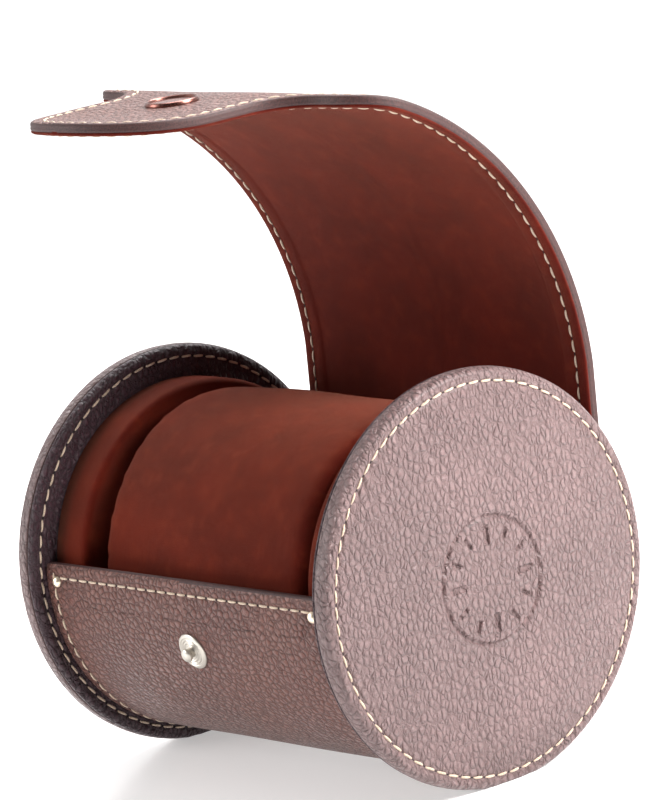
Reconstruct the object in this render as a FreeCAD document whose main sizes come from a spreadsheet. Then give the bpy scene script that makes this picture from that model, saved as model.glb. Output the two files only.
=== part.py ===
"""Watch box: two leather discs joined by a suede-lined tray, a turning pillow and a snap-down lid.

Sizes are in millimetres.  +X runs along the case towards the right disc, -Y is the
front (the press stud), +Z is up.  The origin is on the resting plane, under the
middle of the case.  The lid is drawn in its open pose, as rigid strips that follow
one another along the line of its lining.
"""
import FreeCAD, Part
import math
import os
import re
import Sketcher

doc = FreeCAD.newDocument("watch_box")
sheet = doc.addObject("Spreadsheet::Sheet", "Dims")

DRIVING = [
    # the case as a whole
    ("axis_height", 47.0, "height of the case's long axis above the resting plane"),
    ("disc_radius", 48.0, "outer radius of a disc"),
    ("disc_face_x", 51.1, "inner face of a disc, from the middle"),
    ("disc_edge_t", 5.8, "thickness of a disc at its seam"),
    ("dome_rise", 1.2, "how far a disc's padded face stands out at its centre"),
    ("seam_radius", 44.9, "radius of a disc's seam"),
    ("leather_t", 1.2, "thickness of the leather"),
    ("rim_t", 1.4, "thickness of the leather turned over a disc's rim"),
    ("rim_round", 0.9, "size of the rolled edge of a disc"),
    ("pad_edge_t", 0.5, "thickness of the padding at a disc's rim"),
    # the tray
    ("tray_radius", 43.9, "outer radius of the tray"),
    ("board_t", 1.0, "thickness of the stiffening board"),
    ("suede_t", 0.6, "thickness of the suede lining"),
    ("tray_front_up", 8.0, "degrees the tray's front edge stands above the axis"),
    ("tray_low", 37.0, "degrees from the tray's lowest line forward to the joint of its arcs"),
    ("tray_under", 30.0, "degrees from the tray's lowest line back to the joint of its arcs"),
    ("hinge_drop", 4.5, "how far the lid's hinge lies below the axis"),
    # the suede collars
    ("collar_radius", 40.2, "outer radius of a collar"),
    ("collar_x", 40.6, "inner face of a collar, from the middle"),
    ("collar_skin", 1.0, "thickness of a collar's suede cover"),
    # the pillow
    ("pillow_radius", 38.6, "outer radius of the pillow"),
    ("pillow_rim_x", 36.5, "end of the pillow's side, from the middle"),
    ("pillow_dome_x", 40.2, "end of the pillow at its centre, from the middle"),
    ("pillow_skin", 1.0, "thickness of the pillow's suede"),
    # the lid
    ("lid_half", 50.6, "half width of the lid"),
    ("lid_lean", 3.4, "degrees the open lid leans back from upright at its hinge"),
    ("strip_gap", 0.3, "gap between the lid's strips"),
    ("straight_len", 21.8, "length of a straight strip"),
    ("curve_radius", 74.7, "radius of the lid's curve, at the lining"),
    ("curve_turn", 16.5, "degrees a curved strip turns"),
    ("neck_radius", 37.8, "radius of the strip that narrows to the tongue, at the lining"),
    ("neck_turn", 24.0, "degrees the narrowing strip turns"),
    ("snap_len", 18.0, "length of the flat strip that carries the snap"),
    ("tip_radius", 140.4, "radius of the upturned tip, at its outer face"),
    ("tip_turn", 5.2, "degrees each strip of the upturned tip turns"),
    ("tongue_half", 26.0, "half width of the tongue"),
    ("shoulder_round", 12.3, "radius of the curves where the lid narrows"),
    # the snap
    ("stud_drop", 14.5, "degrees the stud lies below the axis, at the front"),
    ("stud_flange_r", 4.5, "radius of the stud's flange"),
    ("stud_flange_t", 0.45, "thickness of the stud's flange"),
    ("stud_head_r", 1.75, "radius of the stud's head"),
    ("stud_head_t", 1.4, "thickness of the stud's head"),
    ("stud_tall", 2.8, "height of the stud above the tray's leather"),
    ("stud_neck_r", 1.2, "radius of the stud's neck and post"),
    ("back_r", 3.5, "radius of the stud's back plate"),
    ("back_t", 0.6, "thickness of the stud's back plate"),
    ("back_gap", 0.15, "gap between the back plate and the lining"),
    ("cap_r", 6.25, "radius of the snap cap"),
    ("cap_t", 1.3, "height of the snap cap"),
    ("cap_rim", 0.7, "width of the snap cap's raised rim"),
    ("cap_dish", 0.45, "depth inside the snap cap's rim"),
    ("socket_r", 5.4, "radius of the snap socket"),
    ("socket_t", 1.2, "how far the snap socket stands out of the lining"),
    ("socket_hole_r", 2.2, "radius of the snap socket's hole"),
    ("socket_tube_r", 3.0, "radius of the tube that joins the socket to the cap"),
    # the tools that cut the lid
    ("tool_tall", 20.0, "height of a cutting tool, half of it each side of the lining"),
    ("tool_overlap", 2.0, "how far one cutting tool runs into the next"),
    # the rivets
    ("rivet_r", 1.4, "radius of a rivet head"),
    ("rivet_t", 0.8, "height of a rivet head"),
    ("rivet_x", 46.8, "distance of a rivet from the middle"),
    ("rivet_up", 2.3, "degrees a rivet stands above the axis, at the front"),
]

DERIVED = [
    ("disc_back_x", "=disc_face_x + leather_t"),
    ("seam_x", "=disc_face_x + disc_edge_t"),
    ("dome_x", "=seam_x + dome_rise"),
    ("pad_dome_x", "=dome_x - leather_t"),
    ("pad_edge_x", "=seam_x - leather_t"),
    ("board_end_x", "=pad_edge_x - pad_edge_t"),
    ("core_r", "=disc_radius - rim_t"),
    ("rim_step_r", "=disc_radius - rim_round"),
    ("rim_start_x", "=disc_face_x + rim_round"),
    ("rim_stop_x", "=seam_x - 2 * rim_round"),
    ("rim_turn_x", "=seam_x - 0.5 * rim_round"),
    ("centre_r", "=0"),
    ("hinge_y", "=sqrt((tray_radius - leather_t - board_t - suede_t)^2 - hinge_drop^2)"),
    ("pillow_core_r", "=pillow_radius - pillow_skin"),
    ("pillow_core_rim_x", "=pillow_rim_x - pillow_skin"),
    ("pillow_core_dome_x", "=pillow_dome_x - pillow_skin"),
    ("lining_out", "=suede_t"),
    ("board_out", "=suede_t + board_t"),
    ("lid_t", "=suede_t + board_t + leather_t"),
    ("tip_inner_radius", "=tip_radius + lid_t"),
    ("tip_chord", "=2 * tip_inner_radius * sin(tip_turn)"),
]

row = 1
for alias, value, note in DRIVING:
    sheet.set("A%d" % row, alias)
    sheet.set("B%d" % row, str(value))
    sheet.set("C%d" % row, note)
    sheet.setAlias("B%d" % row, alias)
    row += 1


def derive(alias, formula):
    """Add a derived size to the sheet."""
    global row
    sheet.set("A%d" % row, alias)
    sheet.set("B%d" % row, formula)
    sheet.setAlias("B%d" % row, alias)
    row += 1


for alias, formula in DERIVED:
    derive(alias, formula)

# The lid's strips: where each starts on the lining line, and which way it heads there.
STRIPS = [("straight", "straight_len", None)] * 2
STRIPS += [("curve", "curve_radius", "curve_turn")] * 4
STRIPS += [("curve", "neck_radius", "neck_turn")]
STRIPS += [("straight", "snap_len", None)]
STRIPS += [("upturn", "tip_inner_radius", "tip_turn")] * 2
derive("lid_y_1", "=hinge_y")
derive("lid_z_1", "=axis_height - hinge_drop")
derive("lid_dir_1", "=90 - lid_lean")
for number, (shape, size, turn) in enumerate(STRIPS, start=1):
    here = "_%d" % number
    after = "_%d" % (number + 1)
    if shape == "straight":
        derive("lid_y" + after, "=lid_y%s + %s * cos(lid_dir%s)" % (here, size, here))
        derive("lid_z" + after, "=lid_z%s + %s * sin(lid_dir%s)" % (here, size, here))
        bend = " + lid_lean" if number == 2 else ""
        derive("lid_dir" + after, "=lid_dir%s%s" % (here, bend))
    elif shape == "curve":
        derive("arc_y" + here, "=lid_y%s - %s * sin(lid_dir%s)" % (here, size, here))
        derive("arc_z" + here, "=lid_z%s + %s * cos(lid_dir%s)" % (here, size, here))
        derive("lid_dir" + after, "=lid_dir%s + %s" % (here, turn))
        derive("lid_y" + after, "=arc_y%s + %s * sin(lid_dir%s)" % (here, size, after))
        derive("lid_z" + after, "=arc_z%s - %s * cos(lid_dir%s)" % (here, size, after))
    else:
        derive("arc_y" + here, "=lid_y%s + %s * sin(lid_dir%s)" % (here, size, here))
        derive("arc_z" + here, "=lid_z%s - %s * cos(lid_dir%s)" % (here, size, here))
        derive("lid_dir" + after, "=lid_dir%s - %s" % (here, turn))
        derive("lid_y" + after, "=arc_y%s - %s * sin(lid_dir%s)" % (here, size, after))
        derive("lid_z" + after, "=arc_z%s + %s * cos(lid_dir%s)" % (here, size, after))
doc.recompute()


FUNCTIONS = ("sin", "cos", "asin", "sqrt")


def bind(thing, prop, formula):
    """Drive a property from the sheet; bare words in the formula are the sheet's names."""
    def named(found):
        word = found.group(0)
        return word if word in FUNCTIONS else "Dims." + word

    thing.setExpression(prop, re.sub(r"[A-Za-z_]\w*", named, formula))


def place(thing, x="0", y="0", z="0", angle=None, axis=(1, 0, 0)):
    """Put a thing at a point of the sheet, turned about one axis by an angle of the sheet."""
    rotation = FreeCAD.Rotation(FreeCAD.Vector(*axis), 0.0 if angle is None else 45.0)
    thing.Placement = FreeCAD.Placement(FreeCAD.Vector(0, 0, 0), rotation)
    for prop, formula in (("x", x), ("y", y), ("z", z)):
        bind(thing, "Placement.Base." + prop, formula)
    if angle is not None:
        bind(thing, "Placement.Rotation.Angle", angle)
    return thing


def box(name, width, length, height):
    """A block with its corner on its own origin."""
    thing = doc.addObject("Part::Box", name)
    for prop, formula in (("Length", width), ("Width", length), ("Height", height)):
        bind(thing, prop, formula)
    return thing


def cylinder(name, radius, height):
    """A cylinder that stands along its own Z."""
    thing = doc.addObject("Part::Cylinder", name)
    bind(thing, "Radius", radius)
    bind(thing, "Height", height)
    return thing


def cut(name, base, tool):
    """Base less tool."""
    thing = doc.addObject("Part::Cut", name)
    thing.Base = base
    thing.Tool = tool
    return thing


def common(name, base, tool):
    """What base and tool share."""
    thing = doc.addObject("Part::Common", name)
    thing.Base = base
    thing.Tool = tool
    return thing


def fuse(name, parts):
    """All the parts made one."""
    thing = doc.addObject("Part::MultiFuse", name)
    thing.Shapes = parts
    thing.Refine = True
    return thing


def outline(body, plane, corners, curves):
    """Draw a closed outline; each curve is edge number -> (radius name, bulge side).

    A corner is a pair of names in the sheet.  Side +1 bends left along the edge and
    -1 bends right.
    """
    sketch = body.newObject("Sketcher::SketchObject", body.Name + "_outline")
    flat = [item for item in body.Origin.OriginFeatures if item.Role == plane][0]
    sketch.AttachmentSupport = (flat, [""])
    sketch.MapMode = "FlatFace"
    spots = [FreeCAD.Vector(sheet.get(h), sheet.get(v), 0) for h, v in corners]
    ends = []
    for number, start in enumerate(spots):
        stop = spots[(number + 1) % len(spots)]
        if number not in curves:
            sketch.addGeometry(Part.LineSegment(start, stop), False)
            ends.append((1, 2))
            continue
        radius = sheet.get(curves[number][0])
        side = curves[number][1]
        chord = stop - start
        left = FreeCAD.Vector(-chord.y, chord.x, 0).normalize()
        reach = math.sqrt(radius ** 2 - (chord.Length / 2) ** 2)
        centre = (start + stop) / 2 + left * reach * side
        first, last = (start, stop) if side > 0 else (stop, start)
        turns = [math.atan2(spot.y - centre.y, spot.x - centre.x) for spot in (first, last)]
        circle = Part.Circle(centre, FreeCAD.Vector(0, 0, 1), radius)
        sketch.addGeometry(Part.ArcOfCircle(circle, turns[0], turns[1]), False)
        ends.append((1, 2) if side > 0 else (2, 1))
    for number, (h, v) in enumerate(corners):
        before = (number - 1) % len(corners)
        here = ends[number][0]
        sketch.addConstraint(Sketcher.Constraint("Coincident", before, ends[before][1], number, here))
        tie = sketch.addConstraint(
            Sketcher.Constraint("DistanceX", -1, 1, number, here, sheet.get(h)))
        sketch.setExpression("Constraints[%d]" % tie, "Dims." + h)
        if v == "centre_r":
            sketch.addConstraint(Sketcher.Constraint("PointOnObject", number, here, -1))
            continue
        tie = sketch.addConstraint(
            Sketcher.Constraint("DistanceY", -1, 1, number, here, sheet.get(v)))
        sketch.setExpression("Constraints[%d]" % tie, "Dims." + v)
    for number, (size, side) in curves.items():
        tie = sketch.addConstraint(Sketcher.Constraint("Radius", number, sheet.get(size)))
        sketch.setExpression("Constraints[%d]" % tie, "Dims." + size)
    return sketch


def turned(name, corners, curves, mirror=False):
    """A body turned about the case's long axis; corners are (along, out)."""
    body = doc.addObject("PartDesign::Body", name)
    sketch = outline(body, "XZ_Plane", corners, curves)
    spin = body.newObject("PartDesign::Revolution", name + "_turn")
    spin.Profile = sketch
    spin.ReferenceAxis = (sketch, ["H_Axis"])
    spin.Angle = 360.0
    facing = FreeCAD.Rotation(FreeCAD.Vector(0, 0, 1), 180.0 if mirror else 0.0)
    body.Placement = FreeCAD.Placement(FreeCAD.Vector(0, 0, 0), facing)
    bind(body, "Placement.Base.z", "axis_height")
    return body


def extruded(name, corners, curves, half):
    """A body of constant section along X, centred on the middle; corners are (y, z)."""
    body = doc.addObject("PartDesign::Body", name)
    sketch = outline(body, "YZ_Plane", corners, curves)
    pad = body.newObject("PartDesign::Pad", name + "_pad")
    pad.Profile = sketch
    pad.Midplane = True
    bind(pad, "Length", "2 * " + half)
    return body


def spot(name, y, z):
    """Add a point's two coordinates to the sheet; return their names."""
    derive(name + "_y", "=" + y)
    derive(name + "_z", "=" + z)
    return (name + "_y", name + "_z")


PIECES = []


def piece(name, thing):
    """Name a finished piece; its label is its file's name."""
    thing.Label = name
    PIECES.append(thing)
    return thing


# --- the two discs -----------------------------------------------------------------
floor_cut = place(box("floor_cut", "4 * disc_radius", "4 * disc_radius", "disc_radius"),
                  "0 - 2 * disc_radius", "0 - 2 * disc_radius", "0 - disc_radius")


def disc(side, mirror):
    """One disc: inner leather, board, domed padding, outer leather turned over the rim."""
    name = side + "_disc_"
    inner = turned(name + "inner_leather_body",
                   [("disc_face_x", "centre_r"), ("disc_back_x", "centre_r"),
                    ("disc_back_x", "core_r"), ("disc_face_x", "core_r")], {}, mirror)
    board = turned(name + "board_body",
                   [("disc_back_x", "centre_r"), ("board_end_x", "centre_r"),
                    ("board_end_x", "core_r"), ("disc_back_x", "core_r")], {}, mirror)
    pad = turned(name + "padding_body",
                 [("board_end_x", "centre_r"), ("pad_dome_x", "centre_r"),
                  ("pad_edge_x", "core_r"), ("board_end_x", "core_r")],
                 {1: ("pad_curve", 1)}, mirror)
    outer = turned(name + "outer_leather_body",
                   [("pad_dome_x", "centre_r"), ("dome_x", "centre_r"), ("seam_x", "seam_radius"),
                    ("rim_turn_x", "rim_step_r"), ("rim_stop_x", "disc_radius"),
                    ("rim_start_x", "disc_radius"), ("disc_face_x", "rim_step_r"),
                    ("disc_face_x", "core_r"), ("pad_edge_x", "core_r")],
                   {1: ("dome_curve", 1), 8: ("pad_curve", -1)}, mirror)
    for label, body in (("inner_leather", inner), ("board", board), ("padding", pad)):
        piece(name + label, body)
    piece(name + "outer_leather", cut(name + "outer_flat", outer, floor_cut))


derive("pad_curve", "=(core_r^2 + (pad_dome_x - pad_edge_x)^2) / (2 * (pad_dome_x - pad_edge_x))")
derive("dome_curve", "=(seam_radius^2 + dome_rise^2) / (2 * dome_rise)")
doc.recompute()
disc("right", False)
disc("left", True)

# --- the tray: leather, board and lining bent round the bottom ------------------------
derive("tray_start", "=180 - tray_front_up")
derive("tray_drop", "=hinge_drop + 1.5 * strip_gap")
derive("tray_r_0", "=tray_radius")
derive("tray_r_1", "=tray_radius - leather_t")
derive("tray_r_2", "=tray_radius - leather_t - board_t")
derive("tray_r_3", "=tray_radius - leather_t - board_t - suede_t")
for number in range(4):
    size = "tray_r_%d" % number
    spot("tray_front_%d" % number, size + " * cos(tray_start)",
         "axis_height + " + size + " * sin(tray_start)")
    spot("tray_low_%d" % number, "0 - " + size + " * sin(tray_low)",
         "axis_height - " + size + " * cos(tray_low)")
    spot("tray_under_%d" % number, size + " * sin(tray_under)",
         "axis_height - " + size + " * cos(tray_under)")
    spot("tray_back_%d" % number, "sqrt(" + size + "^2 - tray_drop^2)", "axis_height - tray_drop")
doc.recompute()


def tray_layer(name, outer, inner):
    """One layer of the tray, between two of its radii, from the front edge to the hinge."""
    out = "tray_%s_" + str(outer)
    inn = "tray_%s_" + str(inner)
    spots = [out % "front", out % "low", out % "under", out % "back",
             inn % "back", inn % "under", inn % "low", inn % "front"]
    corners = [(item + "_y", item + "_z") for item in spots]
    curves = {edge: ("tray_r_%d" % outer, 1) for edge in (0, 1, 2)}
    curves.update({edge: ("tray_r_%d" % inner, -1) for edge in (4, 5, 6)})
    return extruded(name, corners, curves, "disc_face_x")


def on_stud_line(thing, out):
    """Stand a thing on the stud's line, a distance out from the long axis."""
    return place(thing, "0", "0 - ( " + out + " ) * cos(stud_drop)",
                 "axis_height - ( " + out + " ) * sin(stud_drop)", "90 + stud_drop")


stud_hole = on_stud_line(cylinder("stud_hole", "stud_neck_r", "tray_radius"), "stud_neck_r")
for name, outer, inner in (("tray_leather", 0, 1), ("tray_board", 1, 2), ("tray_lining", 2, 3)):
    piece(name, cut(name + "_pierced", tray_layer(name + "_body", outer, inner), stud_hole))

# --- the suede collars -----------------------------------------------------------------
for side, mirror in (("right", False), ("left", True)):
    derive("collar_core_r_" + side, "=collar_radius - collar_skin")
    derive("collar_core_x_" + side, "=collar_x + collar_skin")
    doc.recompute()
    core_r = "collar_core_r_" + side
    core_x = "collar_core_x_" + side
    piece(side + "_collar_core",
          turned(side + "_collar_core_body",
                 [(core_x, "centre_r"), ("disc_face_x", "centre_r"),
                  ("disc_face_x", core_r), (core_x, core_r)], {}, mirror))
    piece(side + "_collar_cover",
          turned(side + "_collar_cover_body",
                 [("collar_x", "centre_r"), (core_x, "centre_r"), (core_x, core_r),
                  ("disc_face_x", core_r), ("disc_face_x", "collar_radius"),
                  ("collar_x", "collar_radius")], {}, mirror))

# --- the pillow ------------------------------------------------------------------------
derive("pillow_in_curve", "=(pillow_core_r^2 + (pillow_dome_x - pillow_rim_x)^2)"
       " / (2 * (pillow_dome_x - pillow_rim_x))")
derive("pillow_core_rim_left", "=0 - pillow_core_rim_x")
derive("pillow_core_dome_left", "=0 - pillow_core_dome_x")
derive("pillow_rim_left", "=0 - pillow_rim_x")
doc.recompute()
piece("pillow_core",
      turned("pillow_core_body",
             [("pillow_core_dome_left", "centre_r"), ("pillow_core_dome_x", "centre_r"),
              ("pillow_core_rim_x", "pillow_core_r"), ("pillow_core_rim_left", "pillow_core_r")],
             {1: ("pillow_in_curve", 1), 3: ("pillow_in_curve", 1)}))
piece("pillow_cover",
      turned("pillow_cover_body",
             [("pillow_rim_left", "pillow_core_r"), ("pillow_rim_x", "pillow_core_r"),
              ("pillow_rim_x", "pillow_radius"), ("pillow_rim_left", "pillow_radius")], {}))
for side, mirror in (("right", False), ("left", True)):
    piece("pillow_%s_end" % side,
          turned("pillow_%s_end_body" % side,
                 [("pillow_core_dome_x", "centre_r"), ("pillow_dome_x", "centre_r"),
                  ("pillow_rim_x", "pillow_core_r"), ("pillow_core_rim_x", "pillow_core_r")],
                 {1: ("pillow_in_curve", 1), 3: ("pillow_in_curve", -1)}, mirror))

# --- the press stud, its back plate and the rivets ---------------------------------------
stud = fuse("stud_fused", [
    on_stud_line(cylinder("stud_flange", "stud_flange_r", "stud_flange_t"), "tray_radius"),
    on_stud_line(cylinder("stud_neck", "stud_neck_r", "stud_tall - stud_head_t / 2"), "tray_radius"),
    on_stud_line(cylinder("stud_head", "stud_head_r", "stud_head_t"),
                 "tray_radius + stud_tall - stud_head_t"),
    on_stud_line(cylinder("stud_post", "stud_neck_r",
                          "tray_radius - tray_r_3 + back_t + back_gap"),
                 "tray_r_3 - back_t - back_gap")])
piece("stud", stud)
back_plate = on_stud_line(cylinder("back_plate", "back_r", "back_t"),
                          "tray_r_3 - back_t - back_gap")
back_hole = on_stud_line(cylinder("back_hole", "stud_neck_r", "back_t * 3"),
                         "tray_r_3 - back_t * 2 - back_gap")
piece("stud_back", cut("stud_back_ring", back_plate, back_hole))
rivets = []
for name, sign in (("right_rivet", ""), ("left_rivet", "0 - ")):
    rivets.append(place(cylinder(name, "rivet_r", "rivet_t"), sign + "rivet_x",
                        "0 - tray_radius * cos(rivet_up)",
                        "axis_height + tray_radius * sin(rivet_up)", "90 - rivet_up"))
pair = doc.addObject("Part::Compound", "rivet_pair")
pair.Links = rivets
piece("front_rivets", pair)

# --- the lid -----------------------------------------------------------------------------
LAYERS = [("lining", "0", "lining_out"), ("board", "lining_out", "board_out"),
          ("leather", "board_out", "lid_t")]


def strip_corners(number, shape, size, name, low, high):
    """The four corners of one layer of a strip: two on its inner face, two on its outer."""
    tag = "%s_%d_" % (name, number)
    n = str(number)
    corners = []
    for end, out in (("start", low), ("start", high), ("stop", high), ("stop", low)):
        label = "%s%s_%s" % (tag, end, "low" if out == low else "high")
        if shape == "straight":
            step = "strip_gap / 2" if end == "start" else size + " - strip_gap / 2"
            corners.append(spot(
                label,
                "lid_y_%s + (%s) * cos(lid_dir_%s) + (%s) * sin(lid_dir_%s)" % (n, step, n, out, n),
                "lid_z_%s + (%s) * sin(lid_dir_%s) - (%s) * cos(lid_dir_%s)" % (n, step, n, out, n)))
            continue
        trim = "90 * strip_gap / pi / " + size
        if shape == "curve":
            turn = STRIPS[number - 1][2]
            at = "lid_dir_%s + %s" % (n, trim if end == "start" else turn + " - " + trim)
            far = "(%s + %s)" % (size, out)
            corners.append(spot(label, "arc_y_%s + %s * sin(%s)" % (n, far, at),
                                "arc_z_%s - %s * cos(%s)" % (n, far, at)))
        else:
            turn = STRIPS[number - 1][2]
            at = "lid_dir_%s - %s" % (n, trim if end == "start" else "(" + turn + " - " + trim + ")")
            far = "(%s - %s)" % (size, out)
            corners.append(spot(label, "arc_y_%s - %s * sin(%s)" % (n, far, at),
                                "arc_z_%s + %s * cos(%s)" % (n, far, at)))
    return corners


def strip_layer(number, name, low, high):
    """One layer of one strip, full width."""
    shape, size, turn = STRIPS[number - 1]
    corners = strip_corners(number, shape, size, name, low, high)
    curves = {}
    if shape != "straight":
        sign = 1 if shape == "curve" else -1
        word = " + " if shape == "curve" else " - "
        reach = "%s_%d_reach_" % (name, number)
        derive(reach + "low", "=%s%s%s" % (size, word, low))
        derive(reach + "high", "=%s%s%s" % (size, word, high))
        curves = {1: (reach + "high", sign), 3: (reach + "low", -sign)}
    doc.recompute()
    half = "tongue_half" if number > 8 else "lid_half"
    return extruded("%s_%d_body" % (name, number), corners, curves, half)


def across(thing, number, x, along):
    """Stand a plan tool on a strip: along is measured from the strip's start."""
    n = str(number)
    heading = "lid_lay_" + n
    return place(thing, x,
                 "lid_y_%s + (%s) * cos(%s) + tool_tall / 2 * sin(%s)" % (n, along, heading, heading),
                 "lid_z_%s + (%s) * sin(%s) - tool_tall / 2 * cos(%s)" % (n, along, heading, heading),
                 heading)


derive("lid_lay_7", "=lid_dir_7 + neck_turn / 2")
derive("lid_lay_8", "=lid_dir_8")
derive("lid_lay_9", "=lid_dir_9 - tip_turn")
derive("neck_len", "=neck_radius * neck_turn * pi / 180")
derive("tip_straight", "=tip_chord - tongue_half")
derive("shoulder_half", "=tongue_half + shoulder_round")
derive("corner_half", "=lid_half - shoulder_round")
doc.recompute()


def narrowing(number, shift):
    """The plan of the curves that narrow the lid to the tongue, seen from one strip's start."""
    tag = "_%d" % number
    wide = across(box("neck_wide" + tag, "2 * corner_half", "shoulder_round + tool_overlap", "tool_tall"),
                  number, "0 - corner_half", "0 - tool_overlap - " + shift)
    middle = across(box("neck_middle" + tag, "2 * shoulder_half",
                        "2 * shoulder_round + tool_overlap", "tool_tall"),
                    number, "0 - shoulder_half", "0 - tool_overlap - " + shift)
    tongue = across(box("neck_tongue" + tag, "2 * tongue_half", "6 * shoulder_round", "tool_tall"),
                    number, "0 - tongue_half", "0 - tool_overlap - " + shift)
    rounds, bites = [], []
    for side, sign in (("right", ""), ("left", "0 - ")):
        rounds.append(across(cylinder("neck_round_" + side + tag, "shoulder_round", "tool_tall"),
                             number, sign + "corner_half", "0 - " + shift))
        bites.append(across(cylinder("neck_bite_" + side + tag, "shoulder_round", "tool_tall"),
                            number, sign + "shoulder_half", "2 * shoulder_round - " + shift))
    scooped = cut("neck_scooped" + tag, middle, fuse("neck_bites" + tag, bites))
    return fuse("neck_plan" + tag, [wide, scooped, tongue] + rounds)


plans = {7: narrowing(7, "0"), 8: narrowing(8, "neck_len")}
tip_plan = fuse("tip_plan", [
    across(box("tip_square", "2 * tongue_half", "tip_straight + tool_overlap", "tool_tall"),
           9, "0 - tongue_half", "0 - tool_overlap"),
    across(cylinder("tip_round", "tongue_half", "tool_tall"), 9, "0", "tip_straight")])


def on_snap(thing, out):
    """Stand a thing on the snap's line, a distance out from the lid's lining face."""
    return place(thing, "0",
                 "lid_y_8 + snap_len / 2 * cos(lid_dir_8) + (%s) * sin(lid_dir_8)" % out,
                 "lid_z_8 + snap_len / 2 * sin(lid_dir_8) - (%s) * cos(lid_dir_8)" % out,
                 "lid_dir_8 + 180")


for number in range(1, 11):
    for name, low, high in LAYERS:
        if number > 8 and name == "board":
            continue
        if number > 8 and name == "leather":
            low = "lining_out"
        strip = strip_layer(number, name, low, high)
        label = "lid_%s_%d" % (name, number)
        if number == 7:
            strip = common(label + "_cut", strip, plans[7])
        if number == 8:
            hole = on_snap(cylinder(label + "_hole", "socket_tube_r", "tool_tall"),
                           "0 - tool_tall / 2")
            shaped = common(label + "_shaped", strip, plans[8])
            strip = cut(label + "_cut", shaped, hole)
        if number > 8:
            strip = common(label + "_cut", strip, tip_plan)
        piece(label, strip)

# --- the snap cap and its socket ---------------------------------------------------------
cap_blank = on_snap(cylinder("cap_blank", "cap_r", "cap_t"), "lid_t")
cap_hollow = on_snap(cylinder("cap_hollow", "cap_r - cap_rim", "cap_dish * 2"),
                     "lid_t + cap_t - cap_dish")
piece("snap_cap", cut("snap_cap_dished", cap_blank, cap_hollow))
socket_ring = on_snap(cylinder("socket_ring", "socket_r", "socket_t"), "0 - socket_t")
socket_tube = on_snap(cylinder("socket_tube", "socket_tube_r", "socket_t + lid_t"), "0 - socket_t")
socket_bore = on_snap(cylinder("socket_bore", "socket_hole_r", "tool_tall"), "0 - tool_tall / 2")
piece("snap_socket", cut("snap_socket_hollow", fuse("snap_socket_solid", [socket_ring, socket_tube]),
                         socket_bore))

# --- check and write -----------------------------------------------------------------------
doc.recompute()
for thing in doc.Objects:
    for word in thing.State:
        if word in ("Invalid", "Error"):
            raise RuntimeError("%s is %s" % (thing.Name, word))
os.makedirs("parts", exist_ok=True)
for thing in PIECES:
    if thing.Shape.isNull() or not thing.Shape.isValid():
        raise RuntimeError(thing.Label + " has no valid shape")
    thing.Shape.exportStep("parts/%s.step" % thing.Label)
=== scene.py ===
"""Watch box: leather discs, wrapped tray, flexible lid with a snap tongue, suede cushion.

Lengths are in millimetres unless a comment says otherwise, in the frame shared with the CAD:
+X along the case to the right disc, -Y to the front, +Z up.
"""
import math
import bmesh
import bpy
from mathutils import Matrix, Vector


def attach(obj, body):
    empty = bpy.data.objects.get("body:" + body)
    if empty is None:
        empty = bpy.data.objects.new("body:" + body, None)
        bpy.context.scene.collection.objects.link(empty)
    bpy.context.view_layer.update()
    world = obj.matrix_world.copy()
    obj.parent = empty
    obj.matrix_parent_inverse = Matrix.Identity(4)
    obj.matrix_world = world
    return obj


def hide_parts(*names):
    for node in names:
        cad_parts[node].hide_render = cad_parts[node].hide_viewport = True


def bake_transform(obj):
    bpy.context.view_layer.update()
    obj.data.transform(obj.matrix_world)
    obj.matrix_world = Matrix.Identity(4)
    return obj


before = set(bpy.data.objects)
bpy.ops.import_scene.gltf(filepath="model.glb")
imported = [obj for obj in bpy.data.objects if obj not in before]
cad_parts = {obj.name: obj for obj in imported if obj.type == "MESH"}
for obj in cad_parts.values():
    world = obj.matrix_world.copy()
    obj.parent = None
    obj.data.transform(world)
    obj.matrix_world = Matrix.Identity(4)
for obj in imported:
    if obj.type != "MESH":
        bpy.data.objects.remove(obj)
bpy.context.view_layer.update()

MM = 0.001
AXIS_Z = 47.0  # height of the discs' common axis
UV_UNIT = 100.0  # millimetres in one unit of the metric UVs
METRE = 1000.0  # millimetres in one unit of object space

# material numbers on the wrap
LEATHER, SUEDE, CUT = 0, 1, 2

# ---------------------------------------------------------------- meshes

def finish_mesh(name, points, faces, face_slots, materials, uvs=None, smooth=True):
    """Make an object from points in mm; each face has a material number."""
    mesh = bpy.data.meshes.new(name)
    mesh.from_pydata([Vector(p) * MM for p in points], [], faces)
    for item in materials:
        mesh.materials.append(item)
    for polygon, number in zip(mesh.polygons, face_slots):
        polygon.material_index = number
        polygon.use_smooth = smooth
    if uvs is not None:
        layer = mesh.uv_layers.new(name="metric")
        for loop in mesh.loops:
            layer.data[loop.index].uv = uvs[loop.vertex_index]
    mesh.validate()
    obj = bpy.data.objects.new(name, mesh)
    bpy.context.scene.collection.objects.link(obj)
    return obj


def loft(name, rings, slot_of, materials, uvs=None, wrap_ring=True, wrap_rows=False):
    """Skin equal rings of points; slot_of(row, column) gives a face's material number."""
    size = len(rings[0])
    points = [p for ring in rings for p in ring]
    faces, slots = [], []
    last_row = len(rings) if wrap_rows else len(rings) - 1
    last_column = size if wrap_ring else size - 1
    for row in range(last_row):
        for column in range(last_column):
            a = row * size + column
            b = row * size + (column + 1) % size
            c = ((row + 1) % len(rings)) * size + (column + 1) % size
            d = ((row + 1) % len(rings)) * size + column
            faces.append((a, b, c, d))
            slots.append(slot_of(row, column))
    flat_uvs = [uv for ring in uvs for uv in ring] if uvs is not None else None
    return finish_mesh(name, points, faces, slots, materials, flat_uvs)


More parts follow.
